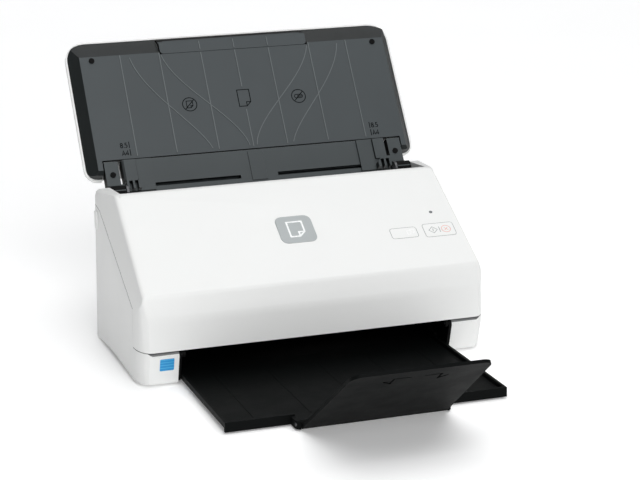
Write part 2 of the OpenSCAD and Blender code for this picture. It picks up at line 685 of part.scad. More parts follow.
arm_x = frame_x + frame_t + 0.6;
extension_foot = tray_len - extension_travel - 17;
module guide_carrier() color(slate) on_tray() {
    difference() {
        block([-120, -33, -10.5], [120, -2, 0]);
        block([-118.4, -31.4, -9], [118.4, -2.6, -1.8]);
        both() block([post[0] - guide_travel - 1, -28.4, -3], [post[1] + 1, -25.2, 1]);
    }
    block([-7, -31, -0.1], [7, -4, 0.8]);
    translate([0, pinion_t, -7.2]) cylinder(r = 2, h = 6);
    // hinge arms
    both() difference() {
        union() {
            between(arm_x, ear_x - 0.4) polygon([
                [-2.4, -10.5], [-2.4, 0], [-25, 0], [-30, axle_w + 2], [-37.6, 2.4], [-36.5, -4], [-33, -10.5]]);
            bar_x([-35.2, axle_w], 6.2, arm_x, ear_x - 0.4);
            block([119.9, -33, -10.5], [arm_x + 0.1, -24, 0]);
        }
        bar_x([-35.2, axle_w], 3.02, 110, 150);
        bar_x([-35.2, axle_w], 7.4, 119, frame_x + frame_t + 0.5);
    }
}
module tray_hinge_pins() color(steel) in_case() both() bar_x(tray_axis, 3, frame_x - 0.6, ear_x - 0.8);

module tray_bumpers() color(charcoal) on_tray() both() {
    translate([130.5, 94, eps]) cylinder(r = 2.5, h = 0.9);
    translate([129.2, -15, eps]) cylinder(r = 2.5, h = 0.9);
}

module tray_extension() color(slate) on_tray() {
    between(-64, 64) polygon([
        [extension_foot, -4.6], [110, -4.6], [110, -2.6], [extension_foot, -2.6]]);
    // the head closes the tray's upper edge
    intersection() {
        between(-extension_x, extension_x) polygon([
            [tray_len - 1.4, -4.6], [108.6, -4.6], [115.6, -13.2], [rim_top - 2.2, -13.2],
            [rim_top - 2.2, -11.2], [109.4, -2.7], [107.8, -2.7], [107.2, -0.1], [tray_len - 1.4, -0.1]]);
        translate([0, rim_top, -20]) rounded_plate([2 * extension_x, 2 * (rim_top - tray_len + 1.4)], 3, 40);
    }
    for (x = [-31.4, 0, 31.4]) block([x - 0.4, tray_len, -1], [x + 0.4, 106.6, rib_h]);
}

grip_x = guide_x + 12.3;
post = [96, 104];
module guide_body() {
    block([94, -32, eps], [119.6, -2.4, 1.8]);
    // low fence, and an arched finger grip at its foot
    translate([0, -3, 0]) rotate([90, 0, 0]) linear_extrude(19) polygon([
        [guide_x, 1.7], [guide_x + 0.6, 3.6], [guide_x + 11, 3.6], [guide_x + 11, 1.7]]);
    difference() {
        translate([0, 0, 1.7]) linear_extrude(7.3) polygon([
            [guide_x, -32], [guide_x, -27], [guide_x + 4, -22.6], [grip_x, -22.6], [grip_x, -32]]);
        block([guide_x + 2.4, -33, 2.4], [guide_x + 5.4, -25, 10]);
        block([guide_x + 7.2, -33, 2.4], [grip_x - 2, -25, 10]);
    }
    block([post[0], -27.8, rack_w[0]], [post[1], -25.8, 1.7]);
}
// teeth across X on the line t, pointing up (side 1) or down (side -1), from x0 to x1
function rack_outline(t, side, x0, x1, back) =
    let(n = floor((x1 - x0) / PI), s = ceil(x0 / PI))
    concat([[x0, t - side * 1.05]],
        [for (k = [0:n - 1], q = [[-1.214, -1.05], [-0.382, 0.8], [0.382, 0.8], [1.214, -1.05]])
            [(s + k + 0.5) * PI + q.x, t + side * q.y]],
        [[x1 + 2, t - side * 1.05], [x1 + 2, back], [x0, back]]);

module paper_guide_left() color(charcoal) on_tray() {
    mirror([1, 0, 0]) guide_body();
    // strut under the other rack, up to this guide's own rack
    block([-post[1], -27.8, -8.4], [-post[0], -25.8, -5.5]);
    block([-post[1], -27.8, -8.4], [-post[0], -3.4, -6.4]);
    block([-post[1], -8, -6.5], [-post[0], -3.4, -3]);
    translate([0, 0, rack_w[0]]) linear_extrude(rack_w[1] - rack_w[0])
        polygon(rack_outline(pinion_t + 6, -1, -98, 7, -3.4));
}
module paper_guide_right() color(charcoal) on_tray() {
    guide_body();
    block([post[0], -27.8, rack_w[0]], [post[1], -21, rack_w[1]]);
    translate([0, 0, rack_w[0]]) linear_extrude(rack_w[1] - rack_w[0])
        mirror([1, 0, 0]) polygon(rack_outline(pinion_t - 6, 1, -98, 7, -25.2));
}
module guide_pinion() color(white) on_tray() translate([0, pinion_t, rack_w[0]]) difference() {
    linear_extrude(rack_w[1] - rack_w[0]) polygon(gear_outline(12, 90));
    translate([0, 0, -1]) cylinder(r = 2 + fit, h = 10);
}

// ---- output tray ----

tray_front = front_y - out_len;
tray_back = tray_front + out_travel + 31;
stop_root = 58.6;
stop_tip = 53.8;
block_x = 63;

module output_tray() color(charcoal) in_case() difference() {
    union() {
        block([-out_x, tray_front, 4.5], [out_x, tray_back, 6.1]);
        both() block([out_x - 2.5, tray_front, 4.5], [out_x, tray_back, 9.2]);
        both() block([stop_root + 1, tray_front - 2.5, 1.5], [out_x, tray_front + 0.5, 9.2]);
        // front bar with rounded ends, which carries the stop's hinge
        translate([0, tray_front + 3, 1.5]) rounded_plate([2 * block_x, 23], 5, 4.6);
        both() intersection() {
            block([stop_root + 0.5, stop_axis.x - 3.5, 1.5], [block_x, tray_front, 8]);
            translate([0, tray_front, 1.5]) rounded_plate([2 * block_x, 34.2], 5, 9);
        }
        for (x = [-88, -44, 0, 44, 88]) block([x - 0.6, tray_front + 6, 6], [x + 0.6, tray_back - 30, 6.4]);
    }
    bar_x(stop_axis, 1.52, -block_x - 1, block_x + 1);
    // finger notch at the back edge
    translate([0, tray_back + 10, 0]) cylinder(r = 18, h = 20);
}

// the stop is drawn flat, reaching back over the tray, and then raised
function stop_outline() = concat(
    [[-stop_root, 1], [stop_root, 1]],
    arc([stop_tip - 9, stop_len - 9], 9, 9, 0, 90, 6),
    arc([9 - stop_tip, stop_len - 9], 9, 9, 90, 180, 6));
module output_stop() color(charcoal) in_case()
    translate([0, stop_axis.x, stop_axis.y]) rotate([180 - stop_angle, 0, 0]) {
        difference() {
            union() {
                translate([0, 0, 1.6]) linear_extrude(2.6) polygon(stop_outline());
                bar_x([0, 0], 3.2, -stop_root, stop_root);
                block([-stop_root, 0, 0.5], [stop_root, 3.2, 4.2]);
            }
            bar_x([0, 0], 1.5 + fit, -80, 80);
            // a hook-shaped pair of finger slots near the free edge
            both() translate([0, stop_len, 3.2]) linear_extrude(3) polygon([
                [5, -15.4], [17.4, -15.4], [17.4, -27], [25, -21], [25, -18.4], [19, -23], [19, -14], [5, -14]]);
        }
    }
module stop_pin() color(steel) in_case() bar_x(stop_axis, 1.5, -block_x + 0.2, block_x - 0.2);

base_floor();
rubber_feet();
side_panel_left();
side_panel_right();
rear_cover();
case_screws();
mid_deck();
side_frame_left();
side_frame_right();
lower_guide();
rear_sensor_bar();
rear_sensor_glass();
main_board();
power_socket();
usb_socket();
shaft_bushes();
cover_hinge_pins();
motor();
motor_pinion();
pick_roller();
upper_feed_roller();
lower_feed_roller();
lower_idler_gear();
upper_idler_gear();
gear_studs();
paper_flag();
case_sticker();
front_cover();
cover_frame();
front_sensor_bar();
front_sensor_glass();
separation_roller();
upper_pinch_roller();
lower_pinch_roller();
control_board();
status_light();
badge_plate();
power_key();
scan_key();
release_button();
input_tray_panel();
input_tray_shell();
guide_carrier();
tray_hinge_pins();
tray_bumpers();
tray_extension();
paper_guide_left();
paper_guide_right();
guide_pinion();
output_tray();
output_stop();
stop_pin();
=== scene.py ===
"""The finished look of the sheet fed document scanner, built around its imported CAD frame."""

import json
import math

import bmesh
import bpy
from mathutils import Matrix, Vector

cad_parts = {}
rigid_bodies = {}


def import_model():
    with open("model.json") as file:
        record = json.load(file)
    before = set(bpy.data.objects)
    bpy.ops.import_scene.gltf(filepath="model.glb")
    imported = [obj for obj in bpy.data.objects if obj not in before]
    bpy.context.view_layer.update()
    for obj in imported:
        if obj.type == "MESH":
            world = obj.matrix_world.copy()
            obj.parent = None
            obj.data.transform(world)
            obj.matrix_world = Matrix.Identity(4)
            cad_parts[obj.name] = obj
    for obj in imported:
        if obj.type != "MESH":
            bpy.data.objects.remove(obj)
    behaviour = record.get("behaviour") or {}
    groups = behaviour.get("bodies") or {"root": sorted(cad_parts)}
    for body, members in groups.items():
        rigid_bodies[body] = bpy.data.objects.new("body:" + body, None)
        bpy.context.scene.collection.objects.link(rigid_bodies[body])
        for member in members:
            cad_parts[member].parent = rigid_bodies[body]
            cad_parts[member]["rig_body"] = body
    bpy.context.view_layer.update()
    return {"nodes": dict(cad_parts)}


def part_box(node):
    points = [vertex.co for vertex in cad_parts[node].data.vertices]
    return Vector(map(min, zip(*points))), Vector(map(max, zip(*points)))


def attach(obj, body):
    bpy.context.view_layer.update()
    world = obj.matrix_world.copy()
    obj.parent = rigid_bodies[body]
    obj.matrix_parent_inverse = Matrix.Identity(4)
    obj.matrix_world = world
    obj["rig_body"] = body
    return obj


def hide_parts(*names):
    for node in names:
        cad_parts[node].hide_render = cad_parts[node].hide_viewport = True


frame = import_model()

# Sizes are in millimetres, except where a comment says metres.
MM = 0.001

# The case's own axes have their origin below the middle of the case.
CASE_DEPTH = 172
CASE_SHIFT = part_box("front_cover")[0].y / MM + CASE_DEPTH / 2


def at(x, y, z):
    """A place in the case's millimetres, in the row frame's metres."""
    return Vector((x, y + CASE_SHIFT, z)) * MM


# The open input tray leans back from upright; its foot is where its surface starts.
TRAY_LEAN = math.radians(34.3)
TRAY_FOOT = (86.5, 155.5)
TRAY_UP = Vector((0, math.sin(TRAY_LEAN), math.cos(TRAY_LEAN)))
TRAY_FACE = Vector((0, -math.cos(TRAY_LEAN), math.sin(TRAY_LEAN)))

# The front cover has an upright band, a steep chamfer above it, and then the control
# panel, which slopes back from level.
BAND_TOP = 57.8
CHAMFER_DEPTH = 5
CHAMFER_HEIGHT = 19.1
PANEL_SLOPE = math.radians(31.75)
PANEL_FOOT = (CHAMFER_DEPTH - CASE_DEPTH / 2, BAND_TOP + CHAMFER_HEIGHT)
PANEL_UP = Vector((0, math.cos(PANEL_SLOPE), math.sin(PANEL_SLOPE)))
PANEL_FACE = Vector((0, -math.sin(PANEL_SLOPE), math.cos(PANEL_SLOPE)))
CHAMFER_FACE = Vector((0, -CHAMFER_HEIGHT, CHAMFER_DEPTH)).normalized()


def on_tray(x, along, out):
    """A place on the open input tray: along it from its foot, and out of its face."""
    return at(x, *TRAY_FOOT) + (TRAY_UP * along + TRAY_FACE * out) * MM


def on_panel(x, along, out):
    """A place on the control panel: up its slope from its foot, and out of its face."""
    return at(x, *PANEL_FOOT) + (PANEL_UP * along + PANEL_FACE * out) * MM


# ---- camera ----

CAMERA_PLACE = (-489.0, -1591.8, 506.9)
CAMERA_YAW = 0.318
CAMERA_PITCH = 0.2474
CAMERA_ROLL = -0.0202
CAMERA_LENS = 113.65
SENSOR_WIDTH = 36
CAMERA_SHIFT = (-0.0069, 0.0072)


def make_camera():
    """A long lens from the front left and above, turned by yaw, pitch and roll."""
    data = bpy.data.cameras.new("camera")
    camera = bpy.data.objects.new("camera", data)
    bpy.context.scene.collection.objects.link(camera)
    sin_yaw, cos_yaw = math.sin(CAMERA_YAW), math.cos(CAMERA_YAW)
    sin_pitch, cos_pitch = math.sin(CAMERA_PITCH), math.cos(CAMERA_PITCH)
    forward = Vector((sin_yaw * cos_pitch, cos_yaw * cos_pitch, -sin_pitch))
    level_right = Vector((cos_yaw, -sin_yaw, 0))
    level_up = level_right.cross(forward)
    right = level_right * math.cos(CAMERA_ROLL) + level_up * math.sin(CAMERA_ROLL)
    up = right.cross(forward)
    turn = Matrix((right, up, -forward)).transposed().to_4x4()
    camera.matrix_world = Matrix.Translation(at(*CAMERA_PLACE)) @ turn
    data.lens = CAMERA_LENS
    data.sensor_width = SENSOR_WIDTH
    data.shift_x, data.shift_y = CAMERA_SHIFT
    data.clip_end = 20  # metres
    bpy.context.scene.camera = camera


# ---- materials ----
# Scales are for places in metres, and bump distances are in metres.

MATERIALS = {}
SPARK_GRAIN = 1500


class Shader:
    """A new material and short ways to add and join its nodes."""

    def __init__(self, name):
        self.material = bpy.data.materials.new(name)
        self.material.use_nodes = True
        self.tree = self.material.node_tree
        self.principled = self.tree.nodes["Principled BSDF"]
        self.place = self.add("ShaderNodeTexCoord").outputs["Object"]
        MATERIALS[name] = self.material

    def add(self, kind, **values):
        node = self.tree.nodes.new(kind)
        for key, value in values.items():
            setattr(node, key, value)
        return node

    def join(self, output, socket):
        self.tree.links.new(output, socket)

    def set(self, **values):
        for key, value in values.items():
            self.principled.inputs[key.replace("_", " ")].default_value = value

    def stretched(self, scale):
        node = self.add("ShaderNodeMapping")
        node.inputs["Scale"].default_value = scale
        self.join(self.place, node.inputs["Vector"])
        return node.outputs["Vector"]

    def noise(self, scale, detail=3.0, roughness=0.55, vector=None):
        node = self.add("ShaderNodeTexNoise")
        node.inputs["Scale"].default_value = scale
        node.inputs["Detail"].default_value = detail
        node.inputs["Roughness"].default_value = roughness
        self.join(vector or self.place, node.inputs["Vector"])
        return node.outputs["Fac"]

    def between(self, value, low, high, start=0.3, end=0.7):
        node = self.add("ShaderNodeMapRange")
        node.inputs["From Min"].default_value = start
        node.inputs["From Max"].default_value = end
        node.inputs["To Min"].default_value = low
        node.inputs["To Max"].default_value = high
        self.join(value, node.inputs["Value"])
        return node.outputs["Result"]

    def blend(self, factor, first, second):
        node = self.add("ShaderNodeMix", data_type="RGBA")
        self.join(factor, node.inputs["Factor"])
        for value, socket in ((first, node.inputs[6]), (second, node.inputs[7])):
            if isinstance(value, bpy.types.NodeSocket):
                self.join(value, socket)
            else:
                socket.default_value = (*value, 1)
        return node.outputs[2]

    def bump(self, height, strength, distance, normal=None):
        node = self.add("ShaderNodeBump")
        node.inputs["Strength"].default_value = strength
        node.inputs["Distance"].default_value = distance
        self.join(height, node.inputs["Height"])
        if normal:
            self.join(normal, node.inputs["Normal"])
        return node.outputs["Normal"]

    def colour(self, output):
        self.join(output, self.principled.inputs["Base Color"])

    def roughness(self, output):
        self.join(output, self.principled.inputs["Roughness"])

    def normal(self, output):
        self.join(output, self.principled.inputs["Normal"])


def shade(colour, factor):
    """A lighter or darker version of a colour."""
    return tuple(min(1.0, c * factor) for c in colour)


def moulded(name, colour, rough, grain, spread, coat=0.0, specular=0.5):
    """Injection moulded plastic: fine spark-eroded grain, faint flow marks and handling gloss."""
    s = Shader(name)
    flow = s.noise(9, 4)
    s.colour(s.blend(s.between(flow, 0, 1), shade(colour, 1 - spread), shade(colour, 1 + spread)))
    handled = s.noise(38, 5, 0.6)
    s.roughness(s.between(handled, rough - 0.05, rough + 0.06))
    soft = s.bump(s.noise(14, 2), 0.05, 0.0006)
    s.normal(s.bump(s.noise(SPARK_GRAIN, 3, 0.7), grain, 0.00008, soft))
    s.set(Coat_Weight=coat, Coat_Roughness=0.2, Specular_IOR_Level=specular)


def pressed_steel(name, colour, rough):
    """Bare metal with fine lines along the case."""
    s = Shader(name)
    lines = s.noise(60, 6, 0.7, s.stretched((0.6, 14, 14)))
    s.colour(s.blend(s.between(lines, 0, 1), shade(colour, 0.88), shade(colour, 1.08)))
    s.roughness(s.between(s.noise(90, 5), rough - 0.08, rough + 0.1))
    s.normal(s.bump(lines, 0.15, 0.00005))
    s.set(Metallic=1.0)


def rubber(name, colour):
    """Dull rubber with a little paper dust."""
    s = Shader(name)
    dust = s.noise(55, 6, 0.7)
    s.colour(s.blend(s.between(dust, 0, 1, 0.45, 0.8), colour, shade(colour, 1.7)))
    s.roughness(s.between(dust, 0.62, 0.82))
    s.normal(s.bump(s.noise(2400, 2), 0.3, 0.0001))


def clear(name, colour, rough, transmission):
    """A clear material with faint smears."""
    s = Shader(name)
    s.colour(s.blend(s.between(s.noise(30, 4), 0, 1), colour, shade(colour, 0.94)))
    s.roughness(s.between(s.noise(120, 4), rough, rough + 0.05))
    s.normal(s.bump(s.noise(200, 2), 0.02, 0.0001))
    s.set(Transmission_Weight=transmission, IOR=1.49)


def circuit_board(name):
    """Solder mask over fine copper tracks."""
    s = Shader(name)
    tracks = s.add("ShaderNodeTexBrick")
    tracks.inputs["Scale"].default_value = 210
    tracks.inputs["Mortar Size"].default_value = 0.05
    s.join(s.place, tracks.inputs["Vector"])
    base = s.blend(tracks.outputs["Fac"], (0.006, 0.075, 0.035), (0.02, 0.16, 0.07))
    s.colour(s.blend(s.between(s.noise(40, 4), 0, 0.4), base, (0.01, 0.05, 0.03)))
    s.roughness(s.between(s.noise(300, 3), 0.25, 0.4))
    s.normal(s.bump(tracks.outputs["Fac"], 0.3, 0.00005))


def printed(name, colour, rough=0.5, gloss=0.4):
    """Thin ink on a moulded surface."""
    s = Shader(name)
    s.colour(s.blend(s.between(s.noise(700, 3), 0, 1), shade(colour, 0.9), shade(colour, 1.1)))
    s.roughness(s.between(s.noise(500, 3), rough - 0.06, rough + 0.06))
    s.normal(s.bump(s.noise(1500, 2), 0.1, 0.00003))
    s.set(Specular_IOR_Level=gloss)


def sticker_face(name):
    """Blue film with lighter sweeps across it."""
    s = Shader(name)
    wave = s.add("ShaderNodeTexWave", wave_type="RINGS")
    wave.inputs["Scale"].default_value = 85
    wave.inputs["Distortion"].default_value = 1.6
    wave.inputs["Detail Scale"].default_value = 0.6
    s.join(s.stretched((0.6, 1, 1.4)), wave.inputs["Vector"])
    sweep = s.between(wave.outputs["Fac"], 0, 1, 0.8, 0.9)
    s.colour(s.blend(sweep, (0.004, 0.26, 0.60), (0.06, 0.42, 0.72)))
    s.roughness(s.between(s.noise(200, 3), 0.28, 0.4))
    s.normal(s.bump(s.noise(300, 3), 0.04, 0.0001))


def make_materials():
    moulded("white_shell", (0.785, 0.79, 0.78), 0.42, 0.10, 0.008)
    # painted shade for the seams and the inside faces of the white shells
    moulded("painted_seam_shade", (0.16, 0.165, 0.165), 0.5, 0.10, 0.02)
    moulded("key_plastic", (0.79, 0.795, 0.785), 0.36, 0.05, 0.008)
    moulded("slate_plastic", (0.044, 0.053, 0.057), 0.44, 0.22, 0.05, specular=0.4)
    # painted shade for the tray's turned-away faces, and painted highlight for its rib tops and
    # right-facing sides
    moulded("slate_painted_shade", (0.011, 0.0135, 0.0138), 0.44, 0.20, 0.05, specular=0.22)
    moulded("slate_painted_highlight", (0.105, 0.118, 0.122), 0.40, 0.20, 0.05, specular=0.5)
    moulded("carrier_plastic", (0.044, 0.053, 0.056), 0.42, 0.2, 0.05, specular=0.4)
    moulded("charcoal_plastic", (0.0034, 0.0040, 0.0040), 0.58, 0.25, 0.06, specular=0.05)
    moulded("black_plastic", (0.0030, 0.0030, 0.0031), 0.6, 0.25, 0.06, specular=0.08)
    moulded("gear_plastic", (0.78, 0.76, 0.68), 0.4, 0.08, 0.03)
    moulded("socket_plastic", (0.02, 0.02, 0.022), 0.38, 0.15, 0.05)
    pressed_steel("steel", (0.56, 0.57, 0.58), 0.34)
    pressed_steel("dark_steel", (0.10, 0.10, 0.105), 0.42)
    pressed_steel("brass", (0.72, 0.55, 0.26), 0.3)
    moulded("badge_metal", (0.40, 0.425, 0.43), 0.5, 0.15, 0.04, specular=0.3)
    rubber("rubber", (0.022, 0.022, 0.023))
    clear("glass", (0.82, 0.9, 0.9), 0.03, 0.9)
    moulded("lamp_lens", (0.09, 0.10, 0.11), 0.2, 0.03, 0.02, coat=0.5)
    circuit_board("circuit_board")
    sticker_face("label")
    # grey ink for the symbols, also used as painted shade in the gaps round the keys
    printed("grey_ink", (0.20, 0.205, 0.21))
    printed("faint_ink", (0.92, 0.92, 0.92))
    printed("red_ink", (0.72, 0.30, 0.25))
    printed("dark_ink", (0.004, 0.0045, 0.005), 0.7, 0.05)
    printed("white_ink", (0.88, 0.89, 0.89))


# ---- floor and light ----


def make_stage():
    """A plain pale floor, twelve metres square."""
    mesh = bpy.data.meshes.new("floor")
    reach = 6
    corners = [(-reach, -reach, 0), (reach, -reach, 0), (reach, reach, 0), (-reach, reach, 0)]
    mesh.from_pydata(corners, [], [(0, 1, 2, 3)])
    floor = bpy.data.objects.new("floor", mesh)
    bpy.context.scene.collection.objects.link(floor)
    s = Shader("floor")
    s.colour(s.blend(s.between(s.noise(2, 2), 0, 1), (0.95, 0.95, 0.95), (0.97, 0.97, 0.97)))
    s.set(Roughness=0.9, Specular_IOR_Level=0.1)
    s.set(Emission_Color=(1, 1, 1, 1), Emission_Strength=0.19)
    mesh.materials.append(s.material)


def make_sun(name, side, spread, strength):
    """A wide, distant soft light that shines from one side, spread over an angle in degrees."""
    data = bpy.data.lights.new(name, "SUN")
    data.angle = math.radians(spread)
    data.energy = strength
    light = bpy.data.objects.new(name, data)
    bpy.context.scene.collection.objects.link(light)
    light.rotation_euler = Vector(side).to_track_quat("Z", "Y").to_euler()


def make_softbox(name, place, target, size, power):
    """A square soft light that is turned towards the target; sizes and places are in metres."""
    data = bpy.data.lights.new(name, "AREA")
    data.shape = "SQUARE"
    data.size = size
    data.energy = power
    light = bpy.data.objects.new(name, data)
    bpy.context.scene.collection.objects.link(light)
    light.location = Vector(place)
    light.rotation_euler = (light.location - Vector(target)).to_track_quat("Z", "Y").to_euler()


def make_light():
    """A pale studio room, two wide lights and one softbox."""
    world = bpy.data.worlds.new("studio")
    bpy.context.scene.world = world
    world.use_nodes = True
    nodes, links = world.node_tree.nodes, world.node_tree.links
    background = nodes["Background"]
    background.inputs["Strength"].default_value = 0.46
    # the room is dimmer to the left and right of the object
    place = nodes.new("ShaderNodeTexCoord")
    split = nodes.new("ShaderNodeSeparateXYZ")
    away = nodes.new("ShaderNodeMath")
    away.operation = "ABSOLUTE"
    dim = nodes.new("ShaderNodeMix")
    dim.data_type = "RGBA"
    dim.inputs[6].default_value = (0.97, 0.985, 1.0, 1)
    dim.inputs[7].default_value = (0.10, 0.10, 0.105, 1)
    links.new(place.outputs["Generated"], split.inputs[0])
    links.new(split.outputs["X"], away.inputs[0])
    links.new(away.outputs[0], dim.inputs["Factor"])
    links.new(dim.outputs[2], background.inputs["Color"])
    make_sun("overhead", (0.3, 0.1, 1), 60, 1.3)
    make_sun("front", (0.0, -1, 0.5), 34, 1.2)
    make_softbox("key", (-0.25, -0.6, 0.9), (-0.05, -0.06, 0.1), 0.4, 1.8)
    view = bpy.context.scene.view_settings
    view.view_transform = "Standard"
    view.look = "None"


# ---- mouldings ----

MERGE_DISTANCE = 2e-6  # metres
FLAT_ANGLE = math.radians(0.6)
BEVEL_ANGLE = math.radians(24)
SMOOTH_ANGLE = math.radians(60)
FOLD_SEGMENTS = 5
# The panel's folds lie beyond this half width, or outside this stretch of its slope.
FOLD_SIDE = 138.5
FOLD_STRETCH = (1, 117)
ON_PLANE = 0.05
# A face looks out of the tray, or to the right, from this much of its normal upwards.
LOOKS_OUT = 0.995
LOOKS_RIGHT = 0.6
# Painted highlight goes on sides above this level, and on tops within a band of this thickness.
HIGHLIGHT_BOTTOM = -0.5
HIGHLIGHT_BAND = 0.3


def link(name, mesh, material):
    """A new piece in the scene, with one material."""
    piece = bpy.data.objects.new(name, mesh)
    bpy.context.scene.collection.objects.link(piece)
    mesh.materials.clear()
    mesh.materials.append(MATERIALS[material])
    return piece


def smooth(mesh):
    """Smooth shading that breaks where faces turn sharply."""
    bm = bmesh.new()
    bm.from_mesh(mesh)
    for face in bm.faces:
        face.smooth = True
    for edge in bm.edges:
        edge.smooth = len(edge.link_faces) == 2 and edge.calc_face_angle(0) < SMOOTH_ANGLE
    bm.to_mesh(mesh)
    bm.free()


def clean_copy(node):
    """A CAD node's mesh with its triangles merged back into whole faces."""
    mesh = frame["nodes"][node].data.copy()
    for name in ("custom_normal", "UVMap"):
        if name in mesh.attributes:
            mesh.attributes.remove(mesh.attributes[name])
    bm = bmesh.new()
    bm.from_mesh(mesh)
    bmesh.ops.remove_doubles(bm, verts=bm.verts, dist=MERGE_DISTANCE)
    bmesh.ops.dissolve_limit(bm, angle_limit=FLAT_ANGLE, verts=bm.verts, edges=bm.edges)
    bm.to_mesh(mesh)
    bm.free()
    return mesh


def mark_folds(mesh):
    """Marks the folds round the control panel, which are rolled over much more widely."""
    weight = mesh.attributes.new("bevel_weight_edge", "FLOAT", "EDGE")
    base = on_panel(0, 0, 0)
    lowest, highest = FOLD_STRETCH
    for edge in mesh.edges:
        ends = [(mesh.vertices[i].co - base) / MM for i in edge.vertices]
        on_face = all(abs(end.dot(PANEL_FACE)) < ON_PLANE for end in ends)
        on_chamfer = all(abs(end.dot(CHAMFER_FACE)) < ON_PLANE for end in ends)
        beside_keys = all(abs(end.x) > FOLD_SIDE for end in ends)
        past_keys = all(not lowest <= end.dot(PANEL_UP) <= highest for end in ends)
        if on_chamfer or (on_face and (beside_keys or past_keys)):
            weight.data[edge.index].value = 1


def soften(node, material, width, segments=3, folds=0):
    """Stands in for a CAD node: the same moulding with its crisp edges rolled over."""
    body = frame["nodes"][node]["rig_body"]
    piece = link(node + "_moulding", clean_copy(node), material)
    if folds:
        mark_folds(piece.data)
        wide = piece.modifiers.new("rolled_folds", "BEVEL")
        wide.width = folds * MM
        wide.segments = FOLD_SEGMENTS
        wide.limit_method = "WEIGHT"
        wide.use_clamp_overlap = True
    bevel = piece.modifiers.new("rolled_edges", "BEVEL")
    bevel.width = width * MM
    bevel.segments = segments
    bevel.limit_method = "ANGLE"
    bevel.angle_limit = BEVEL_ANGLE
    bevel.use_clamp_overlap = True
    bevel.harden_normals = True
    smooth(piece.data)
    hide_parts(node)
    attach(piece, body)
    return piece


def dress(node, material):
    """A CAD node that is shown as it is, with its material."""
    data = frame["nodes"][node].data
    data.materials.clear()
    data.materials.append(MATERIALS[material])


def paint_edge_shade_and_highlight(piece, edge, highlight=None, level=0.2):
    """Faces that turn away from the open tray's face get the edge material, a darker painted shade.

    Tops in a thin band above the level, which is out of that face, and sides that look
    to the right get the highlight material, a lighter painted highlight.
    """
    piece.data.materials.append(MATERIALS[edge])
    if highlight:
        piece.data.materials.append(MATERIALS[highlight])
    base = on_tray(0, 0, 0)
    for polygon in piece.data.polygons:
        out = (piece.data.vertices[polygon.vertices[0]].co - base).dot(TRAY_FACE) / MM
        if polygon.normal.dot(TRAY_FACE) < LOOKS_OUT:
            polygon.material_index = 1
            if highlight and polygon.normal.x > LOOKS_RIGHT and out > HIGHLIGHT_BOTTOM:
                polygon.material_index = 2
        elif highlight and level < out < level + HIGHLIGHT_BAND:
            polygon.material_index = 2


def paint_seam_shade(piece, hidden):
    """Painted shade: faces in the seams and inside the case get a dull dark grey that stands in for
    the shade there.
    """
    piece.data.materials.append(MATERIALS["painted_seam_shade"])
    for polygon in piece.data.polygons:
        if hidden(polygon.normal, polygon.center):
            polygon.material_index = 1


def in_side_seam(normal, centre):
    """Whether a side panel's face looks into the case or up at the front cover."""
    looks_in = normal.x * centre.x < -0.3 * abs(centre.x)
    return looks_in or (abs(normal.x) < 0.05 and normal.z > 0.3)


def make_mouldings():
    """The visible housings, with rolled edges and the materials of their faces."""
    for node in ("side_panel_left", "side_panel_right"):
        # the faces in the seams and inside the case get painted shade
        paint_seam_shade(soften(node, "white_shell", 0.5), in_side_seam)
    paint_seam_shade(
        soften("front_cover", "white_shell", 0.6, folds=3.2),
        lambda normal, centre: abs(normal.x) < 0.05 and normal.z < -0.3)
    paint_seam_shade(
        soften("rear_cover", "white_shell", 0.4), lambda normal, centre: normal.y < -0.3)
    soften("input_tray_shell", "white_shell", 0.6)
    soften("badge_plate", "badge_metal", 0.25)
    for node in ("power_key", "scan_key", "release_button"):
        soften(node, "key_plastic", 0.3)
    # the darker and black edge faces are painted shade that darkens the gaps, and the lighter
    # crests are painted highlight
    paint_edge_shade_and_highlight(soften("input_tray_panel", "slate_plastic", 0.3, 2), "slate_painted_shade", "slate_painted_highlight")
    paint_edge_shade_and_highlight(soften("tray_extension", "slate_plastic", 0.4, 2), "black_plastic", "slate_painted_highlight")
    paint_edge_shade_and_highlight(soften("guide_carrier", "carrier_plastic", 0.25, 2), "black_plastic", "slate_painted_highlight", 5)
    for node in ("paper_guide_left", "paper_guide_right"):
        paint_edge_shade_and_highlight(soften(node, "carrier_plastic", 0.25, 2), "slate_painted_shade")
    soften("output_tray", "charcoal_plastic", 0.5, 3)
    soften("output_stop", "charcoal_plastic", 0.6, 3)


# ---- printed and engraved marks, and painted shade round the keys ----

MARK_MERGE_DISTANCE = 1e-6  # metres
CORNER_STEPS = 4
LETTER_LINE = 0.75
LETTER_WIDTHS = {"8": 2.9, ".": 1.2, "5": 2.6, "A": 3.2, "4": 2.9}
TRAY_LINE = 0.8
WARNING_PLACE = (50.3, 45.7)
WARNING_RADIUS = 6.4
SIZE_MARK_X = 110.6
BADGE_ROW = 58.3
KEY_ROW = 41.8
KEY_GAP = 0.25
KEY_LINE = 0.45
KEY_INK = (0.1, 0.24)  # from just under a key's top to just above it
POWER_KEY_X = 90.8
POWER_KEY_SIZE = (23.2, 11.6)
SCAN_KEY_X = 122.5
SCAN_KEY_SIZE = (27, 15)
START_X = 116.9
BAR_X = 122.8
CANCEL_X = 128.6


def stroke(points, width, closed=False):
    """Flat quads along a line of one width."""
    points = [Vector(p) for p in points]
    count = len(points)
    sides = []
    for i, point in enumerate(points):
        ways = []
        if i or closed:
            ways.append((point - points[i - 1]).normalized())
        if i < count - 1 or closed:
            ways.append((points[(i + 1) % count] - point).normalized())
        along = sum(ways, Vector((0, 0))).normalized()
        reach = width / 2 / max(0.5, along.dot(ways[0]))
        across = Vector((-along.y, along.x)) * reach
        sides.append((point + across, point - across))
    faces = []
    for i in range(count if closed else count - 1):
        a, b = sides[i], sides[(i + 1) % count]
        faces.append((a[0], b[0], b[1], a[1]))
    return faces


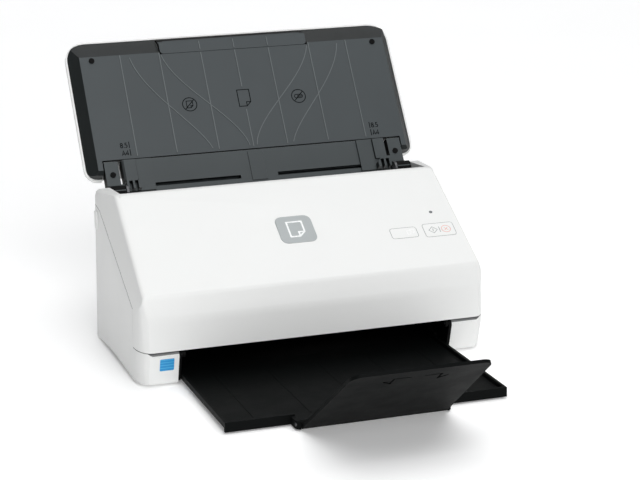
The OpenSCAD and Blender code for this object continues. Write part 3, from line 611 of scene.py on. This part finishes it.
def ring(centre, radius, width, steps=36):
    """A line round a circle."""
    turns = [math.radians(360 * i / steps) for i in range(steps)]
    points = [(centre[0] + radius * math.cos(a), centre[1] + radius * math.sin(a)) for a in turns]
    return stroke(points, width, True)


def rounded_box(centre, size, radius, width):
    """A line round a rectangle with rounded corners."""
    points = []
    for k, (sx, sy) in enumerate(((1, 1), (-1, 1), (-1, -1), (1, -1))):
        for i in range(CORNER_STEPS + 1):
            a = math.radians(90 * (k + i / CORNER_STEPS))
            points.append((
                centre[0] + sx * (size[0] / 2 - radius) + radius * math.cos(a),
                centre[1] + sy * (size[1] / 2 - radius) + radius * math.sin(a)))
    return stroke(points, width, True)


def shifted(faces, dx, dy):
    """The same faces, moved in their plane."""
    return [tuple((p[0] + dx, p[1] + dy) for p in face) for face in faces]


def ink(name, faces, surface, low, high, material, node):
    """Thin raised marks on a surface, carried by the CAD node they lie on."""
    bm = bmesh.new()
    for face in faces:
        bm.faces.new([bm.verts.new(surface(p[0], p[1], low)) for p in face])
    bmesh.ops.remove_doubles(bm, verts=bm.verts, dist=MARK_MERGE_DISTANCE)
    lift = surface(0, 0, high) - surface(0, 0, low)
    raised = bmesh.ops.extrude_face_region(bm, geom=bm.faces[:])["geom"]
    verts = [v for v in raised if isinstance(v, bmesh.types.BMVert)]
    bmesh.ops.translate(bm, verts=verts, vec=lift)
    bmesh.ops.recalc_face_normals(bm, faces=bm.faces)
    mesh = bpy.data.meshes.new(name)
    bm.to_mesh(mesh)
    bm.free()
    piece = link(name, mesh, material)
    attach(piece, frame["nodes"][node]["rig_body"])


def folded_page(width, height, fold, line):
    """A sheet with its lower right corner folded over, drawn round the origin."""
    x, y = width / 2, height / 2
    sheet = [(-x, -y), (-x, y), (x, y), (x, fold - y), (x - fold, -y)]
    crease = [(x, fold - y), (x - fold, fold - y), (x - fold, -y)]
    return stroke(sheet, line, True) + stroke(crease, line)


def letter_shapes():
    """The few letters that the size marks need, as lines from a common foot."""
    small_loop = ring((1.1, 3.3), 0.95, LETTER_LINE, steps=14)
    large_loop = ring((1.1, 1.15), 1.05, LETTER_LINE, steps=14)
    hook = [(1.9, 4.3), (0.4, 4.3), (0.3, 2.5), (1.4, 2.6), (2.0, 1.6), (1.4, 0.3), (0.2, 0.3)]
    peak = [(0, 0), (1.3, 4.4), (2.6, 0)]
    crossbar = [(0.5, 1.3), (2.1, 1.3)]
    return {
        "8": large_loop + small_loop,
        ".": stroke([(0.1, 0.25), (0.8, 0.25)], LETTER_LINE),
        "5": stroke(hook, LETTER_LINE),
        "A": stroke(peak, LETTER_LINE) + stroke(crossbar, LETTER_LINE),
        "4": stroke([(1.9, 0), (1.9, 4.3), (0.1, 1.2), (2.6, 1.2)], LETTER_LINE),
    }


def size_mark(text, x, along, side):
    """A tick and a paper size in small line letters, four and a half millimetres high."""
    letters = letter_shapes()
    faces = stroke([(x * side, along - 0.6), (x * side, along + 5.4)], LETTER_LINE)
    place = x * side + (1.6 if side > 0 else -1.2 - sum(LETTER_WIDTHS[c] for c in text))
    for c in text:
        faces += shifted(letters[c], place, along)
        place += LETTER_WIDTHS[c]
    return faces


def make_tray_marks():
    """A page in the middle of the input tray, two crossed out warnings and the size marks."""
    faces = shifted(folded_page(11, 16, 4, TRAY_LINE), 0, 48)
    for side in (-1, 1):
        x, y = WARNING_PLACE[0] * side, WARNING_PLACE[1]
        faces += ring((x, y), WARNING_RADIUS, TRAY_LINE)
        reach = WARNING_RADIUS * math.cos(math.radians(45))
        faces += stroke([(x - reach, y - reach), (x + reach, y + reach)], TRAY_LINE)
        for text, along in (("8.5", 9.6), ("A4", 2.4)):
            faces += size_mark(text, SIZE_MARK_X, along, side)
    # on the left a stapled corner, on the right a paper clip
    x, y = WARNING_PLACE
    faces += shifted(folded_page(5.6, 6.6, 2, 0.7), -x, y)
    faces += shifted(rounded_box((0, 0), (7.4, 3.4), 1.6, 0.7), x, y)
    faces += shifted(rounded_box((0.9, 0), (3.6, 1.3), 0.6, 0.5), x, y)
    ink("tray_marks", faces, on_tray, -0.02, 0.05, "dark_ink", "input_tray_panel")


def make_panel_marks():
    """Painted shade in the gaps round the keys, the page on the badge and the symbols on the keys.
    """
    gap_shade = []
    for x, (width, height) in ((POWER_KEY_X, POWER_KEY_SIZE), (SCAN_KEY_X, SCAN_KEY_SIZE)):
        outline = (width + KEY_GAP, height + KEY_GAP)
        gap_shade += rounded_box((x, KEY_ROW), outline, 2.3, KEY_LINE)
    # the grey lines round the keys are painted shade that darkens the gaps
    ink("key_gap_shade", gap_shade, on_panel, -0.3, 0.02, "grey_ink", "front_cover")
    ink("badge_page", shifted(folded_page(13, 17, 5, 1.5), 0, BADGE_ROW), on_panel, 0.2, 0.42,
        "white_ink", "badge_plate")
    # a diamond round a short bar, a long bar, and a cross in a ring
    start = stroke([
        (START_X - 3.8, KEY_ROW), (START_X, KEY_ROW + 3.7),
        (START_X + 3.8, KEY_ROW), (START_X, KEY_ROW - 3.7)], 0.4, True)
    start += stroke([(START_X, KEY_ROW - 1.6), (START_X, KEY_ROW + 1.6)], 0.5)
    start += stroke([(BAR_X, KEY_ROW - 3.2), (BAR_X, KEY_ROW + 3.2)], KEY_LINE)
    ink("start_mark", start, on_panel, *KEY_INK, "grey_ink", "scan_key")
    cancel = ring((CANCEL_X, KEY_ROW), 3.9, KEY_LINE)
    reach = 1.6
    for rise in (-reach, reach):
        cancel += stroke([
            (CANCEL_X - reach, KEY_ROW - rise), (CANCEL_X + reach, KEY_ROW + rise)], KEY_LINE)
    ink("cancel_mark", cancel, on_panel, *KEY_INK, "red_ink", "scan_key")
    page = folded_page(3.6, 4.6, 1.3, 0.35)
    sides = shifted(page, POWER_KEY_X + 4.7, KEY_ROW - 0.2)
    sides += shifted(page, POWER_KEY_X + 7.4, KEY_ROW + 0.8)
    ink("sides_mark", sides, on_panel, *KEY_INK, "faint_ink", "power_key")


# ---- nodes that are shown as they are ----

DRESSING = {
    "black_plastic": ("tray_bumpers", "lower_guide", "cover_frame", "mid_deck", "base_floor"),
    "charcoal_plastic": ("rear_sensor_bar", "front_sensor_bar", "paper_flag"),
    "socket_plastic": ("power_socket",),
    "steel": ("case_screws", "usb_socket", "cover_hinge_pins", "motor", "gear_studs"),
    # on the side frames the dark steel is partly painted shade: it darkens the frames seen through
    # the gaps, which lie in the case's shade
    "dark_steel": ("tray_hinge_pins", "stop_pin", "side_frame_left", "side_frame_right"),
    "rubber": (
        "rubber_feet", "pick_roller", "upper_feed_roller", "lower_feed_roller",
        "separation_roller"),
    "glass": ("rear_sensor_glass", "front_sensor_glass"),
    "circuit_board": ("main_board", "control_board"),
    "gear_plastic": (
        "lower_idler_gear", "upper_idler_gear", "guide_pinion", "upper_pinch_roller",
        "lower_pinch_roller", "shaft_bushes"),
    "brass": ("motor_pinion",),
    "lamp_lens": ("status_light",),
    "label": ("case_sticker",),
}


def main():
    make_camera()
    make_materials()
    make_stage()
    make_light()
    make_mouldings()
    make_tray_marks()
    make_panel_marks()
    for material, nodes in DRESSING.items():
        for node in nodes:
            dress(node, material)


main()
